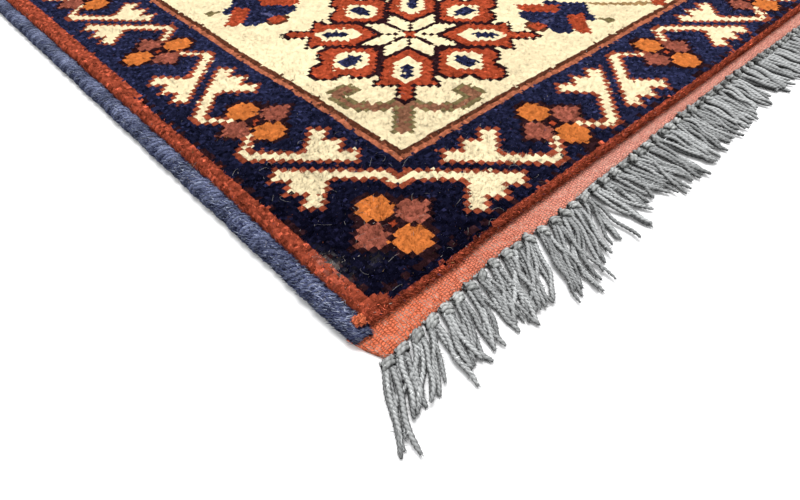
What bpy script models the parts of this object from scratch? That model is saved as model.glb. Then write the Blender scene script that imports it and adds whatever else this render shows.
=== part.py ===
"""Small hand-knotted oriental rug lying flat, pile side up, at its real size.

Five closed solids in metres, +Z up, the underside on z = 0 and the origin at the
middle of the footprint. X runs across the rug and Y along its warps.
"""

import math

import bpy
import numpy as np

# Knot grid: a knot's width across the rug and its height along the warps
KNOT_X = 0.0030
KNOT_Y = 0.002915
KNOTS_ACROSS = 297
KNOTS_ALONG = 429

# The pile slab and the flat-woven kilim skirt at each end
PILE_HALF_X = KNOT_X * KNOTS_ACROSS / 2
PILE_HALF_Y = KNOT_Y * KNOTS_ALONG / 2
PILE_TOP = 0.0078
PILE_SIDE_TOP = 0.0064
PILE_ROUND_X = 0.0012
PILE_SLUMP_Y = 0.0022
PILE_SWELL = 0.0004
KILIM_TOP = 0.0022
KILIM_DEPTH = 0.0092
KILIM_HALF_X = 0.4540
CORNER_DROOP = 0.0035
DROOP_FROM_X = 0.430

# How far the rug lies out of true: its ends and its sides wander a little
END_WAVE = 0.0014
END_WAVE_LENGTH = 0.90
SIDE_WAVE = 0.0010
SIDE_WAVE_LENGTH = 1.26
SWELL_LENGTH_X = 0.46
SWELL_LENGTH_Y = 0.52

# Overcast side cords
GAP = 0.0003
SELVEDGE_WIDTH = 0.0092
SELVEDGE_HEIGHT = 0.0070
SELVEDGE_FLAT = 0.0052
SELVEDGE_LOW_SHARE = 0.28
SELVEDGE_HIGH_SHARE = 0.70
SELVEDGE_STEPS = 28
SELVEDGE_THINNING = 0.05
SELVEDGE_THINNING_TURN = 2.4

# Knotted fringe
LOCKS_PER_END = 125
LOCK_PITCH = 0.00724
STRIP_DEPTH = 0.0014
STRIP_TOP = 0.0022
ROOT_WIDTH = 0.0040
LOCK_LENGTH = 0.0295
LOCK_LENGTH_SPREAD = 0.0030
LOCK_LENGTH_SEED = 7

# Body cells along each axis, between the skirts and the side roundings
CELLS_X = 20
CELLS_Y = 26
SAME_PLACE = 1e-6

# Sections of a fringe lock: how far out from the strip it is, as a length or as
# a share of the lock's length, with its width, its height and the top's width
# compared with the bottom's
LOCK_SECTION_COLUMNS = ("out", "share", "width", "height", "top_ratio")
LOCK_SECTIONS = (
    (0.0024, 0.00, 0.0056, 0.0042, 0.62),
    (0.0050, 0.00, 0.0040, 0.0026, 0.70),
    (0.0000, 1.00, 0.0044, 0.0015, 0.75),
)

# Lean of the near end's locks towards -X, in degrees, at places across the rug
LEAN_COLUMNS = ("x", "degrees")
LEAN_TABLE = (
    (-0.455, 36.0),
    (-0.440, 27.0),
    (-0.300, 22.0),
    (-0.270, -25.0),
    (-0.100, 5.0),
    (0.050, 20.0),
    (0.200, -10.0),
    (0.380, -18.0),
    (0.455, -35.0),
)


def clear_scene():
    """Remove whatever objects the open file holds."""
    for existing in list(bpy.data.objects):
        bpy.data.objects.remove(existing, do_unlink=True)


def make_material(name, colour, roughness):
    """A plain cloth-like Principled material."""
    material = bpy.data.materials.new(name)
    material.use_nodes = True
    shader = material.node_tree.nodes["Principled BSDF"]
    shader.inputs["Base Color"].default_value = (*colour, 1.0)
    shader.inputs["Roughness"].default_value = roughness
    shader.inputs["Metallic"].default_value = 0.0
    return material


def make_object(name, vertices, faces, material):
    """An object at the origin with the given mesh."""
    mesh = bpy.data.meshes.new(name)
    mesh.from_pydata([tuple(point) for point in vertices], [], faces)
    mesh.update()
    mesh.materials.append(material)
    made = bpy.data.objects.new(name, mesh)
    bpy.context.scene.collection.objects.link(made)
    return made


def lie(points):
    """Shift points of the straight rug to where the real one lies.

    A row across the rug bends as a sine of x, and a column along it bends as a
    sine of y. Both are odd, so the rug stays centred and its two halves match.
    """
    bent = np.array(points, dtype=float)
    x = bent[:, 0].copy()
    y = bent[:, 1].copy()
    bent[:, 1] += END_WAVE * np.sin(2 * math.pi * x / END_WAVE_LENGTH)
    bent[:, 0] -= SIDE_WAVE * np.sin(2 * math.pi * y / SIDE_WAVE_LENGTH)
    return bent


def skirt_end(x):
    """Distance of the kilim's edge from the rug's middle, greater at a corner."""
    share = max(abs(x) - DROOP_FROM_X, 0.0) / (KILIM_HALF_X - DROOP_FROM_X)
    return PILE_HALF_Y + KILIM_DEPTH + CORNER_DROOP * share


def pile_height(x, y):
    """Height of the pile's face, which swells and sinks a little."""
    swell = math.sin(2 * math.pi * x / SWELL_LENGTH_X)
    swell *= math.cos(2 * math.pi * y / SWELL_LENGTH_Y)
    return PILE_TOP + PILE_SWELL * swell


def mirrored(half_stations, inner, cells):
    """Stations from -outermost to +outermost, evenly spaced inside inner."""
    middle = list(np.linspace(-inner, inner, cells + 1))
    return [-s for s in half_stations] + middle + list(reversed(half_stations))


def body_height(x, y):
    """Top of the rug's body at a station of the straight rug."""
    if abs(y) > PILE_HALF_Y - SAME_PLACE:
        return KILIM_TOP
    if abs(x) > PILE_HALF_X - SAME_PLACE:
        return PILE_SIDE_TOP
    return pile_height(x, y)


def build_body():
    """Pile slab and kilim skirts in one: cells of a grid with a stepped top.

    The skirts are wider than the pile by the side cords, so the cells beside
    the pile are left out and every open side gets a wall.
    """
    foot_x = PILE_HALF_X - PILE_ROUND_X
    foot_y = PILE_HALF_Y - PILE_SLUMP_Y
    xs = mirrored([KILIM_HALF_X, PILE_HALF_X, foot_x], DROOP_FROM_X, CELLS_X)
    ys = mirrored([PILE_HALF_Y + KILIM_DEPTH, PILE_HALF_Y], foot_y, CELLS_Y)
    last_x = len(xs) - 2
    last_y = len(ys) - 2

    def kept(i, j):
        if not (0 <= i <= last_x and 0 <= j <= last_y):
            return False
        return 0 < i < last_x or j in (0, last_y)

    vertices = []
    number = {}

    def corner(i, j, top):
        key = (i, j, top)
        if key not in number:
            number[key] = len(vertices)
            y = ys[j]
            if j in (0, last_y + 1):
                y = math.copysign(skirt_end(xs[i]), y)
            vertices.append((xs[i], y, body_height(xs[i], ys[j]) if top else 0.0))
        return number[key]

    faces = []
    for i in range(last_x + 1):
        for j in range(last_y + 1):
            if not kept(i, j):
                continue
            ring = [(i, j), (i + 1, j), (i + 1, j + 1), (i, j + 1)]
            beside = [(i, j - 1), (i + 1, j), (i, j + 1), (i - 1, j)]
            faces.append([corner(a, b, True) for a, b in ring])
            faces.append([corner(a, b, False) for a, b in reversed(ring)])
            for side in range(4):
                if kept(*beside[side]):
                    continue
                start = ring[side]
                stop = ring[(side + 1) % 4]
                faces.append([corner(*start, False), corner(*stop, False),
                              corner(*stop, True), corner(*start, True)])
    pile = make_material("pile_wool", (0.09, 0.06, 0.09), 0.95)
    return make_object("rug_body", lie(vertices), faces, pile)


def selvedge_section():
    """Offsets (x, z) of a cord's eight-sided section, anticlockwise from -Y."""
    half = SELVEDGE_WIDTH / 2
    flat = SELVEDGE_FLAT / 2
    low = SELVEDGE_HEIGHT * SELVEDGE_LOW_SHARE
    high = SELVEDGE_HEIGHT * SELVEDGE_HIGH_SHARE
    return np.array([
        (-flat, 0.0), (flat, 0.0), (half, low), (half, high),
        (flat, SELVEDGE_HEIGHT), (-flat, SELVEDGE_HEIGHT), (-half, high), (-half, low),
    ])


def build_selvedge(name, side, material):
    """A side cord: the section carried along the pile's edge, a little uneven."""
    section = selvedge_section()
    sides = len(section)
    centre_x = side * (PILE_HALF_X + GAP + SELVEDGE_WIDTH / 2)
    reach = PILE_HALF_Y - GAP
    vertices = []
    for step in range(SELVEDGE_STEPS + 1):
        y = -reach + 2 * reach * step / SELVEDGE_STEPS
        thin = (1.0 + math.sin(SELVEDGE_THINNING_TURN * step + side)) / 2
        size = 1.0 - SELVEDGE_THINNING * thin
        for offset_x, z in section:
            vertices.append((centre_x + offset_x * size, y, z * size))
    faces = [list(range(sides)), [SELVEDGE_STEPS * sides + k for k in reversed(range(sides))]]
    for step in range(SELVEDGE_STEPS):
        for k in range(sides):
            near = step * sides
            far = near + sides
            after = (k + 1) % sides
            faces.append([near + k, far + k, far + after, near + after])
    return make_object(name, lie(vertices), faces, material)


def lock_lean(x):
    """Lean of the near end's lock at x, in radians towards -X."""
    places = [row[LEAN_COLUMNS.index("x")] for row in LEAN_TABLE]
    degrees = [row[LEAN_COLUMNS.index("degrees")] for row in LEAN_TABLE]
    return math.radians(float(np.interp(x, places, degrees)))


def strip_point(x, depth, z):
    """A point of the near strip: this far out from the kilim's cut edge."""
    return (x, -(skirt_end(x) + GAP + depth), z)


def lock_sections(x, length):
    """Corner rings of one lock beyond its root, in the straight rug's frame."""
    lean = lock_lean(x)
    out_way = np.array([-math.sin(lean), -math.cos(lean), 0.0])
    across = np.array([math.cos(lean), -math.sin(lean), 0.0])
    root = np.array(strip_point(x, STRIP_DEPTH, 0.0))
    rings = []
    for out, share, width, height, top_ratio in LOCK_SECTIONS:
        middle = root + out_way * (out + share * length)
        low = across * width / 2
        high = low * top_ratio
        lift = np.array([0.0, 0.0, height])
        rings.append([middle - low, middle + low, middle + high + lift, middle - high + lift])
    return rings


def fringe_shape():
    """Vertices and faces of the near fringe: a strip with a lock on each root.

    The strip is a bar of four long sides. Its outer side is open where a lock
    starts, and the lock's rings carry on from there to a closed tip.
    """
    rng = np.random.default_rng(LOCK_LENGTH_SEED)
    first_x = -LOCK_PITCH * (LOCKS_PER_END - 1) / 2
    lengths = LOCK_LENGTH + LOCK_LENGTH_SPREAD * (2 * rng.random(LOCKS_PER_END) - 1)
    centres = [first_x + LOCK_PITCH * k for k in range(LOCKS_PER_END)]
    stations = []
    for x in centres:
        stations += [x - ROOT_WIDTH / 2, x + ROOT_WIDTH / 2]

    vertices = []
    for x in stations:
        vertices.append(strip_point(x, 0.0, 0.0))
        vertices.append(strip_point(x, 0.0, STRIP_TOP))
        vertices.append(strip_point(x, STRIP_DEPTH, STRIP_TOP))
        vertices.append(strip_point(x, STRIP_DEPTH, 0.0))

    faces = [[3, 2, 1, 0]]
    last = 4 * (len(stations) - 1)
    faces.append([last, last + 1, last + 2, last + 3])
    for k in range(len(stations) - 1):
        here = 4 * k
        there = here + 4
        faces.append([here, here + 1, there + 1, there])
        faces.append([here + 1, here + 2, there + 2, there + 1])
        faces.append([here + 3, here, there, there + 3])
        between_locks = k % 2 == 1
        if between_locks:
            faces.append([here + 3, there + 3, there + 2, here + 2])

    for k, x in enumerate(centres):
        left = 8 * k
        right = left + 4
        ring = [left + 3, right + 3, right + 2, left + 2]
        for corners in lock_sections(x, lengths[k]):
            start = len(vertices)
            vertices += [tuple(point) for point in corners]
            outer = [start + n for n in range(4)]
            for n in range(4):
                after = (n + 1) % 4
                faces.append([ring[n], ring[after], outer[after], outer[n]])
            ring = outer
        faces.append(ring)
    return vertices, faces


def build_fringes(material):
    """The near fringe, and the far one as the same shape turned half round."""
    vertices, faces = fringe_shape()
    near = lie(vertices)
    far = near * np.array([-1.0, -1.0, 1.0])
    return [make_object("fringe_near", near, faces, material),
            make_object("fringe_far", far, faces, material)]


clear_scene()
build_body()
side_wool = make_material("side_wool", (0.10, 0.13, 0.28), 0.95)
build_selvedge("selvedge_left", -1, side_wool)
build_selvedge("selvedge_right", 1, side_wool)
build_fringes(make_material("fringe_yarn", (0.50, 0.52, 0.52), 0.95))
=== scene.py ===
import math

import bpy
import numpy as np
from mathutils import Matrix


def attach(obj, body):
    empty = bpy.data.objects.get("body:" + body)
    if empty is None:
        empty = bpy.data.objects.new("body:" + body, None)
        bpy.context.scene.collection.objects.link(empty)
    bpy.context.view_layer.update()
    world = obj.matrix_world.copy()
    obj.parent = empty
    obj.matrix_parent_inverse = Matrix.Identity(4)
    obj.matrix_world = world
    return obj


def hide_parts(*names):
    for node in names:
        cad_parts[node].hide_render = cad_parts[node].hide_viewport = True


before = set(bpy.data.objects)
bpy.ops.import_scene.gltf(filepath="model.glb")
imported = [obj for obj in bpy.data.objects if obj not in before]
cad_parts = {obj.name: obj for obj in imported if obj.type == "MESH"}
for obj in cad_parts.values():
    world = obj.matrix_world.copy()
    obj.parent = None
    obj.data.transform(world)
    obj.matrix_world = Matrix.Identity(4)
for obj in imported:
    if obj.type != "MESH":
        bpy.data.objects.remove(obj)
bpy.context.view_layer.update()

# The floor: a plain pale studio floor, matt, swept in one sheet under the whole rug.
# It is the stage and no part of the rug.
FLOOR_REACH = 30.0
FLOOR_TONES = ((0.90, 0.90, 0.91, 1.0), (0.93, 0.93, 0.93, 1.0))
FLOOR_MOTTLE = 6.0


def new_material(name, roughness, shine):
    """A material with its node tree and its Principled shader."""
    material = bpy.data.materials.new(name)
    material.use_nodes = True
    shader = material.node_tree.nodes["Principled BSDF"]
    shader.inputs["Roughness"].default_value = roughness
    shader.inputs["Specular IOR Level"].default_value = shine
    return material, material.node_tree, shader


def feed(tree, socket, value):
    """Link an input to another node's output, or set it to a value."""
    if isinstance(value, bpy.types.NodeSocket):
        tree.links.new(value, socket)
    else:
        socket.default_value = value


def node(tree, kind, feeds, **settings):
    """A new shader node with the given inputs and properties set on it."""
    made = tree.nodes.new(kind)
    for key, value in settings.items():
        setattr(made, key, value)
    for key, value in feeds.items():
        feed(tree, made.inputs[key], value)
    return made


def maths(tree, operation, *values):
    """The output of a new Math node that takes the given values."""
    return node(tree, "ShaderNodeMath", dict(enumerate(values)), operation=operation).outputs[0]


floor_mesh = bpy.data.meshes.new("studio_floor")
floor_mesh.from_pydata([(-FLOOR_REACH, -FLOOR_REACH, 0.0), (FLOOR_REACH, -FLOOR_REACH, 0.0),
                        (FLOOR_REACH, FLOOR_REACH, 0.0), (-FLOOR_REACH, FLOOR_REACH, 0.0)],
                       [], [(0, 1, 2, 3)])
floor = bpy.data.objects.new("studio_floor", floor_mesh)
bpy.context.scene.collection.objects.link(floor)
floor_paint, tree, shader = new_material("pale_floor", 0.85, 0.25)
place = node(tree, "ShaderNodeTexCoord", {})
mottle = node(tree, "ShaderNodeTexNoise", {"Vector": place.outputs["Object"], "Scale": FLOOR_MOTTLE})
ramp = node(tree, "ShaderNodeValToRGB", {"Fac": mottle.outputs["Fac"]})
for element, tone in zip(ramp.color_ramp.elements, FLOOR_TONES):
    element.color = tone
feed(tree, shader.inputs["Base Color"], ramp.outputs["Color"])
floor_mesh.materials.append(floor_paint)

# The pile: wool tied knot by knot on cotton warps and cut short, one small square to a
# knot. The chart below gives each knot's colour: a navy border with a running leaf and
# four-lobed flowers round a cream field with rosettes and palmettes. The four quarters
# mirror each other. Knot (0, 0) is the middle of the near left corner's flower.
KNOT_X = 0.0030
KNOT_Y = 0.002915
REPEAT = 34
FIRST_I, FIRST_J = -12, -10
MIDDLE_I, MIDDLE_J = 136, 204
KNOTS_I, KNOTS_J = 2 * (MIDDLE_I - FIRST_I) + 1, 2 * (MIDDLE_J - FIRST_J) + 1
(NAVY, CREAM, RUST, ORANGE, MAROON, BROWN, OLIVE, VINE, DARK, SLATE, TAN, PALE, RIM, GUARD,
 LINE) = range(15)
# Each yarn's sRGB look under the studio light, in the order of the codes above
YARN_SEEN = np.array([
    (19, 19, 38), (252, 233, 190), (178, 76, 48), (214, 121, 60), (160, 89, 72), (100, 58, 42),
    (132, 118, 80), (148, 102, 78), (48, 27, 31), (88, 88, 124), (172, 138, 92), (214, 204, 194),
    (160, 78, 54), (180, 84, 60), (190, 112, 82)])
LIGHT_GAIN = 1.15


def yarn_colour(seen):
    """Linear colour of the yarn itself from its sRGB look under the studio light.

    Each channel is put through the sRGB curve and divided by the light's gain.
    """
    share = np.asarray(seen, dtype=float) / 255.0
    curve = np.where(share <= 0.04045, share / 12.92, ((share + 0.055) / 1.055) ** 2.4)
    return curve / LIGHT_GAIN


across_i, along_j = np.mgrid[FIRST_I:MIDDLE_I + 1, FIRST_J:MIDDLE_J + 1]
chart = np.full(across_i.shape, NAVY)


def touching(mask):
    """Knots that share a side with a marked knot."""
    near = np.zeros_like(mask)
    near[1:, :] |= mask[:-1, :]
    near[:-1, :] |= mask[1:, :]
    near[:, 1:] |= mask[:, :-1]
    near[:, :-1] |= mask[:, 1:]
    return near


def within(outline, at, turned, flip):
    """Knots inside an outline drawn round a place, flipped and perhaps turned: a knot is
    inside where a ray to the right of it crosses the outline an odd number of times."""
    a = (across_i - at[0]) * flip[0]
    b = (along_j - at[1]) * flip[1]
    if turned:
        a, b = b, a
    corners = np.array(outline, dtype=float)
    found = np.zeros(a.shape, dtype=bool)
    for (x0, y0), (x1, y1) in zip(corners, np.roll(corners, -1, axis=0)):
        if y0 != y1:
            crosses = (y0 > b) != (y1 > b)
            found ^= crosses & (a < (x1 - x0) * (b - y0) / (y1 - y0) + x0)
    return found


def line_of_knots(path, radius):
    """Knots nearer than the radius to a broken line, by distance to each stretch."""
    corners = np.array(path, dtype=float)
    found = np.zeros(across_i.shape, dtype=bool)
    for start, stop in zip(corners[:-1], corners[1:]):
        way = stop - start
        share = ((across_i - start[0]) * way[0] + (along_j - start[1]) * way[1]) / (way @ way)
        share = share.clip(0, 1)
        found |= np.hypot(across_i - start[0] - share * way[0],
                          along_j - start[1] - share * way[1]) <= radius
    return found


def both_halves(half):
    """An outline made whole by mirroring its half in the upright."""
    return half + [(-x, y) for x, y in reversed(half)]


def both_sides_of_diagonal(half):
    """An outline made whole by swapping its half's two directions."""
    return half + [(y, x) for x, y in reversed(half)]


# Rust guard, a knot wider up the side, then a navy border with a speckled first row, and
# the field with its rust and brown lines
NAVY_FIRST_I, NAVY_FIRST_J = -10, -8
SPECKLED_SHARE = 0.4
WIDER_GUARD_FROM = 54
LINE_AT = 10
specks = np.random.default_rng(3).random(chart.shape) < SPECKLED_SHARE
chart[specks & ((across_i == NAVY_FIRST_I) | (along_j == NAVY_FIRST_J))] = DARK
chart[(across_i < NAVY_FIRST_I) | (along_j < NAVY_FIRST_J)] = GUARD
chart[NAVY_FIRST_I - FIRST_I, NAVY_FIRST_J - FIRST_J] = GUARD
chart[(across_i == NAVY_FIRST_I) & (along_j > WIDER_GUARD_FROM)] = GUARD
depth = np.minimum(across_i, along_j)
chart[depth == LINE_AT] = LINE
chart[depth == LINE_AT + 1] = BROWN
chart[depth > LINE_AT + 1] = CREAM
border = depth < LINE_AT

# Running leaf: for each row of one leaf, its runs of knots; its partner is the same
# turned half round about (17.5, 0)
LEAF = {6: [(16, 16), (20, 20), (24, 24)], 5: [(15, 17), (19, 21), (23, 25)], 4: [(16, 24)],
        3: [(17, 23)], 2: [(18, 22)], 1: [(19, 21)], 0: [(20, 21)], -1: [(21, 22)],
        -2: [(22, 23)], -3: [(23, 24), (31, 31)], -4: [(24, 25), (30, 30)],
        -5: [(25, 26), (29, 29)], -6: [(26, 28)]}
leaf = [(i, j) for j, runs in LEAF.items() for first, last in runs
        for i in range(first, last + 1)]
leaf = np.array(leaf + [(REPEAT + 1 - i, -j) for i, j in leaf])
leaves = np.zeros(chart.shape, dtype=bool)


def mark(mask, i, j):
    """Mark the knots at i, j that fall on the chart."""
    on = (i >= FIRST_I) & (i <= MIDDLE_I) & (j >= FIRST_J) & (j <= MIDDLE_J)
    mask[i[on] - FIRST_I, j[on] - FIRST_J] = True


# The leaf turns over at each repeat; in the corner its two runs stop short and join
for k in range(6):
    a = (REPEAT - leaf[:, 0] if k % 2 else leaf[:, 0]) + REPEAT * k
    b = leaf[:, 1]
    kept = (k > 0) | ~((a < 8) & (b > 2))
    mark(leaves, b[kept], a[kept])
    if k < 4:
        mark(leaves, a[kept], b[kept])
CORNER_RUN = np.arange(6, LINE_AT)
mark(leaves, CORNER_RUN, np.full(len(CORNER_RUN), 6))
mark(leaves, np.full(len(CORNER_RUN), 6), CORNER_RUN)
leaves &= border
chart[leaves] = CREAM
chart[touching(leaves) & (chart == NAVY) & border] = RIM

# Border flowers: two orange and two maroon lobes round a dark eye with a rust dot
size_i, size_j = np.abs(np.mgrid[-6:7, -6:7])
ORANGE_HALF = np.array([0, 0, 1, 2, 2, 2, 1])
MAROON_HALF = np.array([0, 0, 1, 2, 2, 1, 0])
flower = np.full(size_i.shape, -1)
flower[(size_i <= 2) & (size_j <= 2)] = DARK
flower[(size_i >= 2) & (size_j <= MAROON_HALF[size_i])] = MAROON
flower[(size_j >= 2) & (size_i <= ORANGE_HALF[size_j])] = ORANGE
flower[6, 6] = RUST


def put_flower(i, j, turned):
    """Lay the flower round knot (i, j), its orange lobes across the rug if turned."""
    shape = flower.T if turned else flower
    a, b = np.mgrid[i - 6:i + 7, j - 6:j + 7]
    on = (a <= MIDDLE_I) & (b <= MIDDLE_J) & (shape >= 0)
    chart[a[on] - FIRST_I, b[on] - FIRST_J] = shape[on]
    lobes = np.zeros(chart.shape, dtype=bool)
    mark(lobes, a[on], b[on])
    chart[touching(lobes) & (chart == NAVY)] = DARK


for k in range(7):
    put_flower(0, REPEAT * k, k > 0 and k % 2 == 0)
    if 0 < k < 5:
        put_flower(REPEAT * k, 0, False)

# Rosettes: eight petals, each a rust shape with a dark rim and a cream and navy eye,
# round a cream star split by dark lines
DIAGONAL_PETAL = [both_sides_of_diagonal(half) for half in (
    [(-3.5, -3.5), (-3.6, -10.6), (-7.0, -14.4), (-9.0, -17.3), (-10.1, -18.6), (-11.2, -17.7),
     (-12.0, -16.3), (-13.3, -15.4), (-14.7, -16.8), (-16.5, -18.7), (-18.6, -18.6)],
    [(-6.8, -6.8), (-6.8, -9.9), (-10.0, -13.5), (-13.7, -13.7)],
    [(-8.3, -8.3), (-8.5, -9.8), (-10.6, -12.2), (-12.4, -12.4)])]
UPRIGHT_PETAL = [both_halves(half) for half in (
    [(0.0, -8.0), (3.8, -10.8), (7.3, -14.4), (7.3, -17.5), (5.4, -19.5), (3.5, -19.8),
     (3.5, -22.3), (1.2, -24.7), (0.0, -24.8)],
    [(0.0, -11.0), (3.2, -13.6), (3.2, -16.6), (0.0, -19.4)],
    [(0.0, -12.7), (1.6, -13.7), (1.6, -16.5), (0.0, -17.9)])]


def put_petal(outlines, at, turned, flip):
    """One petal from its three outlines: body with its rim knots, eye and eye's core."""
    body, eye, core = (within(outline, at, turned, flip) for outline in outlines)
    chart[body] = RUST
    chart[body & touching(~body)] = DARK
    chart[eye] = CREAM
    chart[core] = NAVY


def put_rosette(at):
    """The star and its dark lines first, then the petals over its ends."""
    a, b = across_i - at[0], along_j - at[1]
    size_a, size_b = np.abs(a), np.abs(b)
    chart[(np.maximum(size_a, size_b) <= 10) & (np.minimum(size_a, size_b) <= 4)] = DARK
    for low, high in ((size_a, size_b), (size_b, size_a)):
        chart[(low >= 1) & (low <= 3) & (high > low) & (high <= low + 6)] = CREAM
    chart[(size_a == size_b) & (size_a >= 2) & (size_a <= 3) & (a * b < 0)] = DARK
    chart[(size_a == size_b) & (size_a == 1) & (a * b < 0)] = CREAM
    chart[(size_a + size_b) <= 1] = RUST
    for flip in ((1, 1), (1, -1), (-1, 1), (-1, -1)):
        put_petal(DIAGONAL_PETAL, at, False, flip)
    for turned in (False, True):
        for way in (1, -1):
            put_petal(UPRIGHT_PETAL, at, turned, (way, way))


for i in (39, MIDDLE_I):
    for j in (39, 149):
        put_rosette((i, j))

# Field corner: a stem and two curling vines, brown with an olive edge
CURL = [(20.3, 21.6), (18.0, 22.6), (16.3, 23.6), (14.6, 25.8), (14.0, 28.0), (14.2, 30.4)]
BULB = [(15.0, 31.4), (16.6, 31.2)]
STEM = [(20.3, 20.1), (15.8, 15.5)]
for path, core, rim in ((CURL, 0.7, 1.35), (BULB, 1.2, 2.0), (STEM, 1.0, 1.7)):
    for way in (path, [(y, x) for x, y in path]):
        chart[line_of_knots(way, rim) & (chart == CREAM)] = OLIVE
        chart[line_of_knots(way, core)] = VINE

# Palmettes: a navy body, two rust side leaves, a slate vein and a rust and brown tip.
# Each is listed by its place, whether it is turned to run along the rug, and its way.
BODY = [(-6.7, 0.0), (-6.7, 4.0), (-5.5, 5.8), (-3.9, 6.5), (-2.0, 5.6), (1.9, 4.8), (2.4, 7.0),
        (4.0, 6.6), (6.2, 3.4), (9.9, 0.0)]
SIDE_LEAF = [(-3.5, 8.2), (-2.3, 9.3), (-0.8, 8.7), (0.3, 7.0), (1.5, 6.4), (2.6, 4.6), (4.6, 2.9),
             (2.0, 1.5), (0.0, 2.4), (-1.4, 4.0), (-3.2, 5.8)]
PALMETTES = (((67, 24), False, 1), ((108, 24), False, -1), ((24, 71), True, 1), ((24, 117), True, -1),
             ((24, 181), True, 1), ((88, 77), True, 1), ((88, 111), True, -1), ((71, 94), False, 1),
             ((105, 94), False, -1), ((88, 187), True, 1), ((71, MIDDLE_J), False, 1),
             ((105, MIDDLE_J), False, -1))
for at, turned, way in PALMETTES:
    flips = [(half, way) if turned else (way, half) for half in (1, -1)]
    a, b = (along_j - at[1], across_i - at[0]) if turned else (across_i - at[0], along_j - at[1])
    a = a * way
    for flip in flips:
        chart[within(BODY, at, turned, flip)] = NAVY
    chart[(b == 0) & (a > -6.8) & (a < 9.9)] = NAVY
    chart[(b == 0) & (a > -6) & (a < -2.5)] = SLATE
    for flip in flips:
        chart[within(SIDE_LEAF, at, turned, flip)] = RUST
    chart[np.hypot(a + 7.6, b) <= 2.3] = BROWN
    chart[np.hypot(a + 7.0, b) <= 1.9] = RUST

# Thin tan vines between the palmettes, with a rust bud where they meet, and short stems
ARCH = [(77.2, 22.5), (80.5, 19.0), (84.5, 15.5), (87.5, 13.6)]
for arch in (ARCH, [(175 - x, y) for x, y in ARCH]):
    for path in (arch, [(y, x + 6) for x, y in arch]):
        chart[line_of_knots(path, 0.75) & (chart == CREAM)] = TAN
for bud in ((87.5, 13.0), (13.0, 94.0)):
    chart[np.abs(across_i - bud[0]) + np.abs(along_j - bud[1]) <= 1.6] = RUST
for path in ([(72, 17), (72.5, 14.8)], [(17, 76), (14.8, 76.5)]):
    chart[line_of_knots(path, 0.8) & (chart == CREAM)] = OLIVE
put_flower(88, 94, False)

# The whole rug, its quarters mirrored; by the near left corner the navy pile slumps
# over one row of the guard
SLUMPED_KNOTS = slice(4, 22)
index_i, index_j = np.mgrid[FIRST_I:FIRST_I + KNOTS_I, FIRST_J:FIRST_J + KNOTS_J]
fold_i = MIDDLE_I - np.abs(index_i - MIDDLE_I) - FIRST_I
fold_j = MIDDLE_J - np.abs(index_j - MIDDLE_J) - FIRST_J
knots = chart[fold_i, fold_j]
knots[SLUMPED_KNOTS, NAVY_FIRST_J - FIRST_J - 1] = NAVY

# Shape of the pile: the rows and the sides wander, the face swells, and the cut ends
# slump towards the kilim
PILE_HALF_X = KNOT_X * KNOTS_I / 2
PILE_HALF_Y = KNOT_Y * KNOTS_J / 2
PILE_TOP = 0.0078
PILE_SWELL = 0.0004
SIDE_TOP = 0.0064
KILIM_TOP = 0.0022
UNDERSIDE = 0.0003
END_WAVE, END_WAVE_LENGTH = 0.0014, 0.90
SIDE_WAVE, SIDE_WAVE_LENGTH = 0.0010, 1.26
SWELL_LENGTH_X, SWELL_LENGTH_Y = 0.46, 0.52
DRAWN_MIDDLE, DRAWN_CORNER = 0.0031, 0.0010
DRAWN_CHANGE_X = (0.385, 0.402)
DRAWN_FROM = (0.0, 0.0029, 0.0058, 0.0090, 0.0140)
DRAWN_SHARE = (1.0, 0.35, -0.30, -0.13, 0.0)
SLUMP_REACH = 0.0066
SLUMP_POWER = 0.72
ROUND_REACH = 0.0022
ROW_WANDER, STILL_ROWS = 0.22, 12
EDGE_I, EDGE_J = FIRST_I - 0.5, FIRST_J - 0.5


def lie(points):
    """Shift points of the straight rug to where it lies: y gains a sine of x, and x
    loses a sine of y."""
    bent = np.array(points, dtype=float)
    x, y = bent[..., 0].copy(), bent[..., 1].copy()
    bent[..., 1] += END_WAVE * np.sin(2 * math.pi * x / END_WAVE_LENGTH)
    bent[..., 0] -= SIDE_WAVE * np.sin(2 * math.pi * y / SIDE_WAVE_LENGTH)
    return bent


def drawn_in(x):
    """How far the foot of the pile's end lies inside the full length: DRAWN_CORNER at
    the corners and DRAWN_MIDDLE between them."""
    return np.interp(np.abs(x), DRAWN_CHANGE_X, (DRAWN_MIDDLE, DRAWN_CORNER))


def knots_from_side(a):
    """Knots between place a across the rug and the side nearer to it."""
    return np.minimum(a - EDGE_I, EDGE_I + KNOTS_I - a)


def knots_from_end(b):
    """Knots between place b along the rug and the end nearer to it."""
    return np.minimum(b - EDGE_J, EDGE_J + KNOTS_J - b)


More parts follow.
